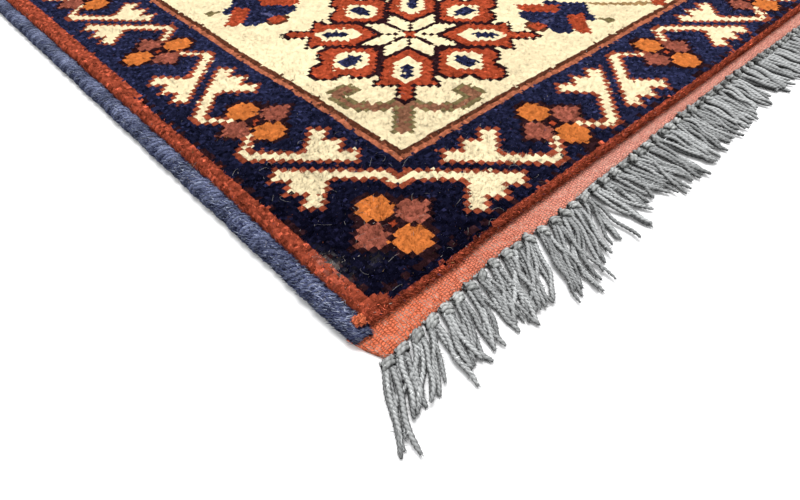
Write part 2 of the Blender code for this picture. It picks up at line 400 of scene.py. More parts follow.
def pile_face(a, b):
    """Points of the pile's face at knot places (a, b), before any tufts.

    The knots wander by slow sines that die away at the rug's edges. The height is the
    swelling top, brought down near the sides by a quarter ellipse and near the ends by
    a flatter curve of the same kind, to the kilim's height. The end's last rows are
    drawn in, so that they stand as a steep wall.
    """
    still = np.minimum(knots_from_side(a), knots_from_end(b)).clip(0, STILL_ROWS) / STILL_ROWS
    shift_a = ROW_WANDER * still * (np.sin(b / 5.3 + 1.0) * 0.5 + np.sin(b / 13.1 + a / 31.0))
    shift_b = ROW_WANDER * still * (np.sin(a / 6.1 + 2.0) * 0.5 + np.sin(a / 15.7 - b / 27.0))
    x = (a + shift_a - MIDDLE_I) * KNOT_X
    y = (b + shift_b - MIDDLE_J) * KNOT_Y
    swell = np.sin(2 * math.pi * x / SWELL_LENGTH_X) * np.cos(2 * math.pi * y / SWELL_LENGTH_Y)
    top = PILE_TOP + PILE_SWELL * swell
    from_end = knots_from_end(b) * KNOT_Y
    from_side = knots_from_side(a) * KNOT_X
    y -= np.sign(y) * drawn_in(x) * np.interp(from_end, DRAWN_FROM, DRAWN_SHARE)
    slump = (1 - (1 - (from_end / SLUMP_REACH).clip(0, 1)) ** 2) ** SLUMP_POWER
    rounding = np.sqrt(1 - (1 - (from_side / ROUND_REACH).clip(0, 1)) ** 2)
    z = SIDE_TOP + (top - SIDE_TOP) * rounding
    z = KILIM_TOP + (z - KILIM_TOP) * slump
    return lie(np.stack([x, y, z], axis=-1))


def new_piece(name, points, faces, material, stands_for, uv=None, yarn=None, smooth=True):
    """A mesh object from whole arrays, riding with the rug.

    points is (n, 3) and faces (m, k), every face with k corners. uv is (m, k, 2), and
    yarn is a linear colour for each face, (m, 3), or face corner, (m, k, 3).
    """
    count, sides = faces.shape
    mesh = bpy.data.meshes.new(name)
    mesh.vertices.add(len(points))
    mesh.vertices.foreach_set("co", np.float32(points).ravel())
    mesh.loops.add(faces.size)
    mesh.loops.foreach_set("vertex_index", np.int32(faces).ravel())
    mesh.polygons.add(count)
    mesh.polygons.foreach_set("loop_start", np.arange(count, dtype=np.int32) * sides)
    mesh.update(calc_edges=True)
    mesh.polygons.foreach_set("use_smooth", np.full(count, smooth))
    if uv is not None:
        mesh.uv_layers.new(name="UVMap").uv.foreach_set("vector", np.float32(uv).ravel())
    if yarn is not None:
        layer = mesh.color_attributes.new(name="yarn", type="FLOAT_COLOR", domain="CORNER")
        colour = np.ones((count, sides, 4), dtype=np.float32)
        colour[..., :3] = yarn if yarn.ndim == 3 else yarn[:, None, :]
        layer.data.foreach_set("color", colour.ravel())
    mesh.materials.append(material)
    piece = bpy.data.objects.new(name, mesh)
    bpy.context.scene.collection.objects.link(piece)
    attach(piece, "root")
    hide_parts(stands_for)
    return piece


def grid_faces(rows, columns):
    """Quads of a grid of points, row by row, anticlockwise seen from above when the
    first index runs along +X and the second along +Y."""
    first = (np.arange(rows - 1)[:, None] * columns + np.arange(columns - 1)[None, :])
    return np.stack([first, first + columns, first + columns + 1, first + 1], axis=-1)


def scaled(tree, colour, share):
    """The output of a new node that makes a colour lighter or darker by a share of it."""
    return node(tree, "ShaderNodeVectorMath", {0: colour, "Scale": share}, operation="SCALE").outputs[0]


def new_group(name, sockets):
    """A new shader group with sockets given as (name, in or out, kind), and the nodes
    for its inputs and outputs."""
    group = bpy.data.node_groups.new(name, "ShaderNodeTree")
    for label, way, kind in sockets:
        group.interface.new_socket(label, in_out=way, socket_type="NodeSocket" + kind)
    return group, node(group, "NodeGroupInput", {}), node(group, "NodeGroupOutput", {})


def fibre_group():
    """Shader group: wool fibre grain in the height and the tone, fine and coarse.

    The tone is the product of two noises, each spread round 1: a fine one by the
    depth, and a broad one by a few hundredths. The height is the fine noise.
    """
    group, start, stop = new_group("wool_fibres", (
        ("Place", "INPUT", "Vector"), ("Colour", "INPUT", "Color"), ("Grain", "INPUT", "Float"),
        ("Depth", "INPUT", "Float"), ("Colour", "OUTPUT", "Color"), ("Height", "OUTPUT", "Float")))
    fine = node(group, "ShaderNodeTexNoise", {
        "Vector": start.outputs["Place"], "Scale": start.outputs["Grain"], "Detail": 4.0, "Roughness": 0.7})
    broad = node(group, "ShaderNodeTexNoise", {
        "Vector": start.outputs["Place"], "Scale": 45.0, "Detail": 2.0})
    spread = node(group, "ShaderNodeMapRange", {
        "Value": fine.outputs["Fac"], "From Min": 0.28, "From Max": 0.72,
        "To Min": maths(group, "SUBTRACT", 1.0, start.outputs["Depth"]),
        "To Max": maths(group, "ADD", 1.0, start.outputs["Depth"])})
    slow = node(group, "ShaderNodeMapRange", {
        "Value": broad.outputs["Fac"], "From Min": 0.3, "From Max": 0.7, "To Min": 0.96, "To Max": 1.04})
    tone = maths(group, "MULTIPLY", spread.outputs["Result"], slow.outputs["Result"])
    feed(group, stop.inputs["Colour"], scaled(group, start.outputs["Colour"], tone))
    feed(group, stop.inputs["Height"], fine.outputs["Fac"])
    return group


def tuft_group():
    """Shader group: rounded cells on a grid of knots or stitches, from a UV map in cells.

    Each cell's height is one less the fourth power of the distance from its middle, in
    each direction; odd rows may be staggered by a share of a cell. Each is a random
    number for a cell.
    """
    group, start, stop = new_group("knots_and_stitches", (
        ("Cells", "INPUT", "Vector"), ("Stagger", "INPUT", "Float"),
        ("Height", "OUTPUT", "Float"), ("Each", "OUTPUT", "Float")))
    split = node(group, "ShaderNodeSeparateXYZ", {0: start.outputs["Cells"]})
    row = maths(group, "FLOOR", split.outputs["Y"])
    odd_row = maths(group, "MODULO", maths(group, "ABSOLUTE", row), 2.0)
    shift = maths(group, "MULTIPLY", odd_row, start.outputs["Stagger"])
    moved = maths(group, "ADD", split.outputs["X"], shift)
    column = maths(group, "FLOOR", moved)
    domes = []
    for value, cell in ((moved, column), (split.outputs["Y"], row)):
        twice = maths(group, "MULTIPLY", maths(group, "SUBTRACT", value, cell), 2.0)
        off = maths(group, "ABSOLUTE", maths(group, "SUBTRACT", twice, 1.0))
        domes.append(maths(group, "SUBTRACT", 1.0, maths(group, "POWER", off, 4.0)))
    cell = node(group, "ShaderNodeCombineXYZ", {0: column, 1: row})
    each = node(group, "ShaderNodeTexWhiteNoise", {"Vector": cell.outputs[0]}, noise_dimensions="2D")
    feed(group, stop.inputs["Height"], maths(group, "MULTIPLY", *domes))
    feed(group, stop.inputs["Each"], each.outputs["Value"])
    return group


fibres = fibre_group()
tufts = tuft_group()


def fibrous(tree, shader, colour, grain, depth):
    """Lay the fibre grain over a colour as the shader's base colour, and give its height."""
    place = node(tree, "ShaderNodeTexCoord", {})
    wool = node(tree, "ShaderNodeGroup", {
        "Place": place.outputs["Object"], "Colour": colour, "Grain": grain, "Depth": depth}, node_tree=fibres)
    feed(tree, shader.inputs["Base Color"], wool.outputs["Colour"])
    return wool.outputs["Height"]


def dye_of(tree):
    """The yarn colour that the mesh carries."""
    return node(tree, "ShaderNodeAttribute", {}, attribute_name="yarn").outputs["Color"]


def cells_of(tree, stagger):
    """The knots or stitches of the mesh's UV map, as a group node."""
    chosen = node(tree, "ShaderNodeUVMap", {}, uv_map="UVMap")
    return node(tree, "ShaderNodeGroup", {"Cells": chosen.outputs["UV"], "Stagger": stagger}, node_tree=tufts)


def wool_material(name, grain, depth, relief, cells=0.0, stands_up=False):
    """Dyed wool: the yarn colour through the fibre grain, with knot cells if asked. If it
    stands up, as thin fibres do that let light through, it is lit as from above."""
    material, tree, shader = new_material(name, 1.0, 0.0)
    height = fibrous(tree, shader, dye_of(tree), grain, depth)
    if cells:
        height = maths(tree, "MULTIPLY_ADD", cells_of(tree, 0.0).outputs["Height"], cells, height)
    bump = node(tree, "ShaderNodeBump", {"Height": height, "Distance": relief})
    if stands_up:
        upward = node(tree, "ShaderNodeCombineXYZ", {"Z": 1.0})
        feed(tree, bump.inputs["Normal"], upward.outputs["Vector"])
    feed(tree, shader.inputs["Normal"], bump.outputs["Normal"])
    return material


pile_wool = wool_material("pile_wool_knots", 1500.0, 0.24, 0.0007, cells=0.35)
corner_wool = wool_material("pile_wool_near_corner", 1500.0, 0.16, 0.0006)
tuft_wool = wool_material("pile_wool_tufts", 2600.0, 0.14, 0.0001, stands_up=True)

# Each knot's own tone, a little uneven, with slow bands along the rug. The navy is a
# paler dye lot away from the rug's corners.
NAVY_FADED_SEEN = (38, 42, 68)
FADE_FROM, FADE_LENGTH = 22, 60
SUBS = 2
NEAR_CORNER = 102
# Painted shade down the wall at each end of the pile, and the rows it spreads over
FOOT_SHADE, FOOT_ROWS = 0.50, 1.0
yarns = yarn_colour(YARN_SEEN)
rng = np.random.default_rng(11)
knot_tone = rng.normal(0, 0.09, knots.shape).clip(-0.25, 0.3) * np.where(knots == CREAM, 0.45, 1.0)
band = np.arange(KNOTS_J) / 9.0 + 2 * np.sin(np.arange(KNOTS_J) / 31.0)
knot_tone = (1 + knot_tone) * (1 + 0.05 * np.sin(band))
corner_jitter = rng.normal(0, 0.045, (KNOTS_I + 1, KNOTS_J + 1, 2)).clip(-0.15, 0.15)
fade = ((fold_i + fold_j - FADE_FROM) / FADE_LENGTH).clip(0, 1)
knot_yarn = yarns[knots] * knot_tone[..., None]
knot_yarn += (knots == NAVY)[..., None] * fade[..., None] * yarn_colour(NAVY_FADED_SEEN)
in_corner = index_i + index_j <= NEAR_CORNER


def edge_lines(first, count):
    """Grid lines, a knot apart, with the first and last knots cut in two and each
    edge line given twice, once for the foot of the wall."""
    lines = first - 0.5 + np.arange(count + 1)
    half = 1 / SUBS
    return np.concatenate([lines[[0, 0]], [lines[0] + half], lines[1:-1],
                           [lines[-1] - half], lines[[-1, -1]]])


def end_shade(b):
    """Painted shade on the wool at row place b: it darkens by FOOT_SHADE down the wall at either end, over
    FOOT_ROWS rows."""
    return 1 - FOOT_SHADE * (1 - knots_from_end(b) / FOOT_ROWS).clip(0, 1)


def middles(lines_a, lines_b):
    """Middles of a grid's cells, and the numbers of the knots that they lie in."""
    a = (lines_a[1:, 1:] + lines_a[:-1, :-1]) / 2
    b = (lines_b[1:, 1:] + lines_b[:-1, :-1]) / 2
    return (a, b, np.floor(a - EDGE_I).astype(int).clip(0, KNOTS_I - 1),
            np.floor(b - EDGE_J).astype(int).clip(0, KNOTS_J - 1))


def without_spares(points, faces):
    """Points that the faces use, and the faces with the points' new numbers."""
    used, order = np.unique(faces, return_inverse=True)
    return points.reshape(-1, 3)[used], order.reshape(faces.shape)


def pile_strip(name, first_j, last_j):
    """The plain pile from row first_j to last_j, less the near corner.

    One quad stands for one knot. Each inner corner of a knot is shifted by a small
    random share of a knot, and the outer lines go down to the underside as a wall.
    """
    b_lines = edge_lines(FIRST_J, KNOTS_J)
    b_lines = b_lines[(b_lines >= first_j - 0.5) & (b_lines <= last_j + 0.5)]
    a, b = np.meshgrid(edge_lines(FIRST_I, KNOTS_I), b_lines, indexing="ij")
    whole_a, whole_b = a - EDGE_I, b - EDGE_J
    near_i, near_j = np.round(whole_a).astype(int), np.round(whole_b).astype(int)
    free = (whole_a == near_i) & (whole_b == near_j) & (a + b > NEAR_CORNER + 1.6)
    free &= (near_i > 1) & (near_i < KNOTS_I - 1) & (near_j > 1) & (near_j < KNOTS_J - 1)
    shift = corner_jitter[near_i, near_j] * free[..., None]
    points = pile_face(a + shift[..., 0], b + shift[..., 1])
    wall = np.zeros(a.shape, dtype=bool)
    wall[[0, -1], :] = True
    wall[:, 0] |= first_j == FIRST_J
    wall[:, -1] |= last_j == LAST_J
    points[..., 2] = np.where(wall, UNDERSIDE, points[..., 2])
    _, middle_b, cell_i, cell_j = middles(a, b)
    kept = ~in_corner[cell_i, cell_j]
    faces = grid_faces(*a.shape)[kept]
    yarn = (knot_yarn[cell_i, cell_j] * end_shade(middle_b)[..., None])[kept]
    cells = np.stack([a, b], axis=-1).reshape(-1, 2)[faces] + 0.5
    points, faces = without_spares(points, faces)
    return new_piece(name, points, faces, pile_wool, "rug_body", uv=cells, yarn=yarn)


LAST_J = FIRST_J + KNOTS_J - 1
pile_pieces = [pile_strip("pile_near", FIRST_J, 91), pile_strip("pile_middle", 92, 254),
               pile_strip("pile_far", 255, LAST_J)]

# The near left corner of the pile, worked finer: two by two small faces to a knot, each
# knot a low dome, with odd small faces in the colour of the neighbour
TUFT_RISE, TUFT_ROUGH, DOME_MIDDLE = 0.00022, 0.00016, 0.55
SIDEWAYS = 0.07
EDGE_RAG = 0.0005
MIXED_SHARE = 0.04
CORNER_KNOTS = NEAR_CORNER - FIRST_I - FIRST_J + 1
lines = np.append(0, np.arange(SUBS * CORNER_KNOTS + 1) / SUBS)
a, b = np.meshgrid(lines + EDGE_I, lines + EDGE_J, indexing="ij")
middle_a, middle_b, cell_i, cell_j = middles(a, b)
kept = in_corner[cell_i, cell_j]
inner = np.zeros(a.shape, dtype=bool)
inner[2:-1, 2:-1] = (kept[2:, 2:] & kept[1:-1, 2:] & kept[2:, 1:-1] & kept[1:-1, 1:-1])
dome = np.cos(math.pi * (a - np.round(a))).clip(0, 1) * np.cos(math.pi * (b - np.round(b))).clip(0, 1)
knot_rise = rng.normal(0, 0.00016, knots.shape)
near_i = np.round(a - FIRST_I).astype(int).clip(0, KNOTS_I - 1)
near_j = np.round(b - FIRST_J).astype(int).clip(0, KNOTS_J - 1)
wander = rng.normal(0, SIDEWAYS, a.shape + (2,)) * inner[..., None]
points = pile_face(a + wander[..., 0], b + wander[..., 1])
rise = TUFT_RISE * (dome - DOME_MIDDLE) + knot_rise[near_i, near_j] + rng.normal(0, TUFT_ROUGH, a.shape)
points[..., 2] += np.where(inner, rise, 0.0)
points[0, :, 2] = UNDERSIDE
points[:, 0, 2] = UNDERSIDE
rag = np.abs(rng.normal(0, EDGE_RAG, a.shape[0])) + 0.0004
points[:, 1, 1] += rag * (a[:, 1] + b[:, 1] < NEAR_CORNER - 2)
mixed = rng.random(kept.shape) < MIXED_SHARE
to_i = np.where(middle_a - EDGE_I - cell_i < 0.5, -1, 1) * mixed
to_j = np.where(middle_b - EDGE_J - cell_j < 0.5, -1, 1) * mixed
from_i = (cell_i + to_i).clip(0, KNOTS_I - 1)
from_j = (cell_j + to_j).clip(0, KNOTS_J - 1)


def rubbed_share(a, b):
    """Share of pale fibres at knot places (a, b): one rubbed spot at the edge of the
    navy beside the corner flower, and a fainter one, as bell curves."""
    spot = np.exp(-((a + 10.6) / 1.2) ** 2 - ((b + 0.6) / 2.6) ** 2)
    return spot + 0.15 * np.exp(-((a + 6.0) / 1.5) ** 2 - ((b + 3.6) / 1.2) ** 2)


# How rough each yarn looks, in the order of the codes, and from it the painted shade on the pile between its
# fibres
ROUGH_TONE = np.array([0.75, 0.05, 0.34, 0.16, 0.32, 0.34, 0.26, 0.26, 0.45, 0.3, 0.2, 0.1, 0.30,
                       0.58, 0.3])
PILE_SHADE_BETWEEN_FIBRES = 1 - 0.5 * ROUGH_TONE
code = knots[from_i, from_j]
# Painted shade between the fibres, a random tone by the roughness, and painted shade down the end wall
tone = PILE_SHADE_BETWEEN_FIBRES[code] * np.exp(rng.normal(0, 0.7, kept.shape) * ROUGH_TONE[code])
yarn = knot_yarn[from_i, from_j] * tone[..., None] * end_shade(middle_b)[..., None]
worn = 0.3 * (rubbed_share(middle_a, middle_b) * rng.random(kept.shape) ** 2)[..., None]
yarn = yarn * (1 - worn) + yarns[PALE] * worn
points, faces = without_spares(points, grid_faces(*a.shape)[kept])
pile_pieces.append(new_piece("pile_near_corner", points, faces, corner_wool, "rug_body",
                             yarn=yarn[kept]))


def blades(root, length, lean, heading, width):
    """Wool fibres as thin triangles that stand on their root points.

    A blade runs from its root up its length, leaning from the upright by its lean
    towards its heading. Its base lies across the heading.
    """
    way = np.stack([np.cos(heading) * np.sin(lean), np.sin(heading) * np.sin(lean), np.cos(lean)], axis=-1)
    across = np.stack([-np.sin(heading), np.cos(heading), 0 * heading], axis=-1) * width[:, None] / 2
    points = np.stack([root - across, root + across, root + way * length[:, None]], axis=1)
    return points.reshape(-1, 3), np.arange(3 * len(root)).reshape(-1, 3)


# The cut ends of the knots' wool stand on that corner, thickest at its tip. They lie
# over the kilim at the end, where the pile slumps, and stand up elsewhere.
BLADES_CLOSE, BLADES_FAR = 42, 11
CLOSE_KNOTS = 34
SLUMPED_ROWS = 2.2
LINT_SHARE, STRAY_SHARE = 0.012, 0.03
at_i, at_j = np.nonzero(in_corner & (index_i + index_j < NEAR_CORNER))
closeness = 1 - (at_i + FIRST_I + at_j + FIRST_J).clip(0, 2 * CLOSE_KNOTS) / (2 * CLOSE_KNOTS)
number = np.round(BLADES_FAR + (BLADES_CLOSE - BLADES_FAR) * closeness).astype(int)
at_i, at_j = np.repeat(at_i, number), np.repeat(at_j, number)
count = len(at_i)
code = knots[at_i, at_j]
root_a = at_i + FIRST_I + rng.uniform(-0.5, 0.5, count)
root_b = at_j + FIRST_J + rng.uniform(-0.5, 0.5, count)
slumped = 1 - ((root_b - EDGE_J) / SLUMPED_ROWS).clip(0, 1)
heading = -math.pi / 2 + rng.normal(0, 1.0, count) * (1 - 0.5 * slumped)
lean = (rng.normal(0.62, 0.28, count) + 0.6 * slumped).clip(0.05, 1.35)
tone = np.exp(rng.normal(0.10, 1.0, count) * ROUGH_TONE[code]) * end_shade(root_b)
colour = knot_yarn[at_i, at_j] * tone[:, None]
# Stray fibres of other colours and pale lint caught in the pile
stray = (rng.random(count) < STRAY_SHARE) & (code != CREAM)
colour[stray] = yarns[rng.choice([MAROON, SLATE, SLATE, BROWN, OLIVE], stray.sum())] * 0.6
lint = (rng.random(count) < LINT_SHARE + 0.6 * rubbed_share(root_a, root_b)) & (code != CREAM)
paler = yarns[rng.choice([PALE, TAN, SLATE], lint.sum(), p=(0.4, 0.2, 0.4))]
colour[lint] = paler * rng.uniform(0.3, 1.0, (lint.sum(), 1))
root = pile_face(root_a, root_b)
root[:, 2] += knot_rise[at_i, at_j] - rng.uniform(0.0003, 0.0007, count)
points, faces = blades(root, rng.uniform(0.0010, 0.0016, count) * (1 + 0.5 * slumped), lean, heading,
                       rng.uniform(0.00022, 0.00042, count))
pile_pieces.append(new_piece("pile_near_tufts", points, faces, tuft_wool, "rug_body",
                             yarn=colour, smooth=False))

# The underside: the same knots seen from the back as small flat ridges on the cotton
# foundation, row by row. It is the cloth that lies on the floor.
RUN_LIMIT = 24
BACK_TONE = 0.9
back_wool = wool_material("back_of_knots", 1500.0, 0.2, 0.0003, cells=1.0)
new_run = index_i % RUN_LIMIT == FIRST_I % RUN_LIMIT
new_run[1:, :] |= knots[1:, :] != knots[:-1, :]
run_j, run_i = np.nonzero(new_run.T)
run_last = np.append(run_i[1:], 0)
run_last[run_last <= run_i] = KNOTS_I
a = np.stack([run_i, run_last, run_last, run_i], axis=-1) + EDGE_I
b = np.stack([run_j, run_j, run_j + 1, run_j + 1], axis=-1) + EDGE_J
points = np.stack([(a - MIDDLE_I) * KNOT_X, (b - MIDDLE_J) * KNOT_Y, np.full(a.shape, UNDERSIDE)], axis=-1)
points = lie(points)
underside = new_piece("underside_weave", points.reshape(-1, 3), np.arange(a.size).reshape(-1, 4)[:, ::-1],
                      back_wool, "rug_body", uv=np.stack([a, b], axis=-1)[:, ::-1] + 0.5,
                      yarn=yarns[knots[run_i, run_j]] * BACK_TONE, smooth=False)

# Kilim ends: a narrow weft-faced strip woven in salmon wool on the same warps, which
# locks the last row of knots at each end. It widens at the corners.
KILIM_HALF_X = 0.4540
KILIM_STATIONS = 570
STITCH_X, STITCH_Y = 0.0015, 0.0011
UNEVEN_STITCHES = (0.34, 0.10)
KILIM_SEEN = np.array([(226, 118, 84), (234, 156, 138)])
WARP_SEEN = (250, 222, 204)
KILIM_TAPER, TAPER_FROM = 0.0050, 0.43
# Edge of the kilim, as distance from the rug's middle at each x
EDGE_X = (-0.454, -0.450, -0.430, -0.410, -0.395, -0.388, -0.376, -0.363, -0.350, -0.340, -0.323,
          -0.300, -0.277, -0.242, -0.215, -0.192, -0.100, 0.000, 0.150, 0.300, 0.430, 0.454)
EDGE_Y = (0.6372, 0.6368, 0.6344, 0.6328, 0.6309, 0.6304, 0.6309, 0.6320, 0.6322, 0.6314, 0.6298,
          0.6298, 0.6290, 0.6277, 0.6278, 0.6272, 0.6290, 0.6310, 0.6295, 0.6315, 0.6330, 0.6368)
# Section from under the pile out to the rounded cut edge and back: share of the depth, height
KILIM_SECTION = np.array([
    (-0.20, 0.0007), (-0.20, 0.0018), (0.0, 0.00225), (0.15, 0.0022), (0.32, 0.00215), (0.50, 0.0022),
    (0.68, 0.0021), (0.85, 0.0020), (0.96, 0.0016), (1.0, 0.0010), (0.98, 0.0004), (0.40, 0.0004)])


def skirt_end(x):
    """Distance of the kilim's edge from the rug's middle, read between the listed places."""
    return np.interp(x, EDGE_X, EDGE_Y)


def ring_faces(rings, sides):
    """Quads of rings of points joined one to the next, closed at both ends by quads
    laid across the first and the last ring; sides is even."""
    first = np.arange(rings - 1)[:, None] * sides + np.arange(sides)[None, :]
    after = np.arange(rings - 1)[:, None] * sides + (np.arange(sides)[None, :] + 1) % sides
    walls = np.stack([first, after, after + sides, first + sides], axis=-1).reshape(-1, 4)
    k = np.arange(sides // 2 - 1)
    cap = np.stack([k, sides - 1 - k, sides - 2 - k, k + 1], axis=-1)
    return np.concatenate([walls, cap, cap[:, ::-1] + (rings - 1) * sides])


# Each stitch has painted shade where it dips, and the pale warps show in the gaps of a few
kilim_wool, tree, shader = new_material("kilim_stitches", 1.0, 0.0)
stitch = cells_of(tree, 0.5)
stitch_height = stitch.outputs["Height"]
dip_shade = node(tree, "ShaderNodeMapRange", {"Value": stitch_height, "To Min": 0.38})
fleck = node(tree, "ShaderNodeMapRange", {
    "Value": stitch.outputs["Each"], "From Min": 0.55, "From Max": 1.0, "To Max": 0.95})
gap_here = node(tree, "ShaderNodeMapRange", {
    "Value": stitch_height, "From Min": 0.15, "From Max": 0.75, "To Min": 1.0, "To Max": 0.0})
warp_show = node(tree, "ShaderNodeMix", {}, data_type="RGBA")
feed(tree, warp_show.inputs["Factor"],
     maths(tree, "MULTIPLY", fleck.outputs["Result"], gap_here.outputs["Result"]))
feed(tree, warp_show.inputs["A"], scaled(tree, dye_of(tree), dip_shade.outputs["Result"]))
feed(tree, warp_show.inputs["B"], (*yarn_colour(WARP_SEEN), 1.0))
fibrous(tree, shader, warp_show.outputs["Result"], 1300.0, 0.55)
bump = node(tree, "ShaderNodeBump", {"Height": stitch_height, "Distance": 0.0004})
feed(tree, shader.inputs["Normal"], bump.outputs["Normal"])

kilim_x = np.linspace(-KILIM_HALF_X, KILIM_HALF_X, KILIM_STATIONS)[:, None]
share, section_z = KILIM_SECTION.T
foot = PILE_HALF_Y - drawn_in(kilim_x)
reach = skirt_end(kilim_x) - foot
section_z = np.tile(section_z, (KILIM_STATIONS, 1))
section_z += (section_z > 0.0012) * rng.normal(0, 0.00006, section_z.shape)
at_end = ((np.abs(kilim_x) - TAPER_FROM) / (KILIM_HALF_X - TAPER_FROM)).clip(0, 1)
narrower = 1 - KILIM_TAPER * share.clip(0, 1) * at_end / KILIM_HALF_X
points = np.stack([kilim_x * narrower, -(foot + share * reach), section_z], axis=-1)
points[..., 1] -= (share > 0.9) * rng.normal(0, 0.0001, (KILIM_STATIONS, 1))
points = lie(points).reshape(-1, 3)
faces = ring_faces(KILIM_STATIONS, len(KILIM_SECTION))[:, ::-1]
flat_uv = points[:, [1, 0]] * (-1 / STITCH_Y, 1 / STITCH_X)
flat_uv += rng.normal(0, 1, flat_uv.shape) * UNEVEN_STITCHES
# The salmon wool turns pinker away from the near left corner, and paler there by a painted light haze
haze_and_pink = ((points[:, :1] + 0.43) / 0.12).clip(0, 1)
colour = yarn_colour(KILIM_SEEN[0]) * (1 - haze_and_pink) + yarn_colour(KILIM_SEEN[1]) * haze_and_pink
kilims = [new_piece(name, points * (turn, turn, 1.0), faces, kilim_wool, "rug_body",
                    uv=flat_uv[faces], yarn=colour[faces])
          for name, turn in (("kilim_near", 1.0), ("kilim_far", -1.0))]

# Side cords: warps overcast with blue-grey wool, turn beside turn, so each side of the
# rug is a round cord. The turns lean and are uneven, and loose fibres stand off them.
GAP = 0.0003
CORD_WIDTH, CORD_HEIGHT = 0.0092, 0.0074
CORD_REACH, CORD_TAPER, TAPERED_SIZE = PILE_HALF_Y + 0.0008, 0.011, 0.62
WRAP_PITCH, WRAP_STARTS, WRAP_RISE = 0.0026, 3, 0.0008
BUNCH_LENGTH, BUNCH_RISE = 0.0088, 0.00030
FINER_END, FINE_END = -0.300, -0.020
# Cord wool colours: the painted shade below, and the painted highlight on top near the corner and farther
# along
CORD_SEEN = np.array([(24, 26, 50), (126, 134, 168), (134, 142, 172)])
RIDGE_SHARE = 0.7


def wound_material(name, grain, depth, groove, relief):
    """Wool or warp yarn wound or plied: the UV map holds the winding's phase as X less Y. The size of its
    sine is 1 on a ridge and 0 in a groove, which gets painted shade by the share groove, and it is the relief
    with the fibre grain."""
    material, tree, shader = new_material(name, 1.0, 0.0)
    turned = node(tree, "ShaderNodeUVMap", {}, uv_map="UVMap")
    split = node(tree, "ShaderNodeSeparateXYZ", {0: turned.outputs["UV"]})
    phase = maths(tree, "SUBTRACT", split.outputs["X"], split.outputs["Y"])
    ridge = maths(tree, "ABSOLUTE", maths(tree, "SINE", phase))
    shade = node(tree, "ShaderNodeMapRange", {"Value": ridge, "To Min": 1 - groove})
    height = fibrous(tree, shader, scaled(tree, dye_of(tree), shade.outputs["Result"]), grain, depth)
    both = maths(tree, "MULTIPLY_ADD", ridge, RIDGE_SHARE, height)
    bump = node(tree, "ShaderNodeBump", {"Height": both, "Distance": relief})
    feed(tree, shader.inputs["Normal"], bump.outputs["Normal"])
    return material


def corner_uv(faces, uv, sides, turn):
    """UV of each face corner of rings of points; where a face closes the ring, its
    corners on the first side are moved on by a whole turn."""
    spread = uv[faces]
    column = faces % sides
    closing = (column.max(axis=1) - column.min(axis=1) == sides - 1)[:, None] & (column == 0)
    spread[..., 0] += closing * turn
    return spread


cord_wool = wound_material("side_cord_wool", 1500.0, 0.60, 0.72, 0.0010)


def bunched(y):
    """Where the wraps crowd together along the cord: a cosine that wanders, 1 at the
    crowded places and -1 between them."""
    return np.cos(2 * math.pi * y / BUNCH_LENGTH + 1.5 * np.sin(y / 0.013))


def cord_points(y, angle, side):
    """Points of a wrapped cord at places y along it and angles round it.

    The section is a flattened superellipse resting on the floor, and shrinks towards the
    cord's two ends. The wraps are ridges, the size of a sine of the phase, which runs
    along the cord and round it. Each wrap is a little thicker or thinner, and the cord
    swells where they crowd together.
    """
    power = 2 / 2.2
    out_x = np.sign(np.cos(angle)) * np.abs(np.cos(angle)) ** power
    out_z = np.sign(np.sin(angle)) * np.abs(np.sin(angle)) ** power
    slow = 0.55 * np.sin(y / 0.0171 + side) + 0.45 * np.sin(y / 0.0073)
    slow = slow + 0.25 * np.sin(2 * angle + y / 0.0091)
    phase = y / WRAP_PITCH + WRAP_STARTS * angle / (2 * math.pi) * side + slow
    ridge = np.where(y < FINE_END, np.abs(np.sin(math.pi * phase)) ** 0.7, 0.8)
    each = np.sin(np.floor(phase) * 12.9898 + side)
    uneven = 0.00012 * np.sin(y / 0.0042 + 3 * np.sin(y / 0.011)) + 0.00022 * each * ridge - 0.00025
    uneven = uneven + BUNCH_RISE * bunched(y)
    from_end = (CORD_REACH - np.abs(y)).clip(0, CORD_TAPER) / CORD_TAPER
    size = TAPERED_SIZE + (1 - TAPERED_SIZE) * np.sqrt(1 - (1 - from_end) ** 2)
    half_w = (CORD_WIDTH / 2 - WRAP_RISE + WRAP_RISE * ridge + uneven) * size
    half_h = (CORD_HEIGHT / 2 - WRAP_RISE / 2 + WRAP_RISE * ridge / 2 + uneven / 2) * size
    x = side * (PILE_HALF_X + GAP + CORD_WIDTH / 2) + out_x * half_w
    z = (half_h * (1 + out_z)).clip(UNDERSIDE, None)
    return lie(np.stack([x, y, z], axis=-1)), phase, each


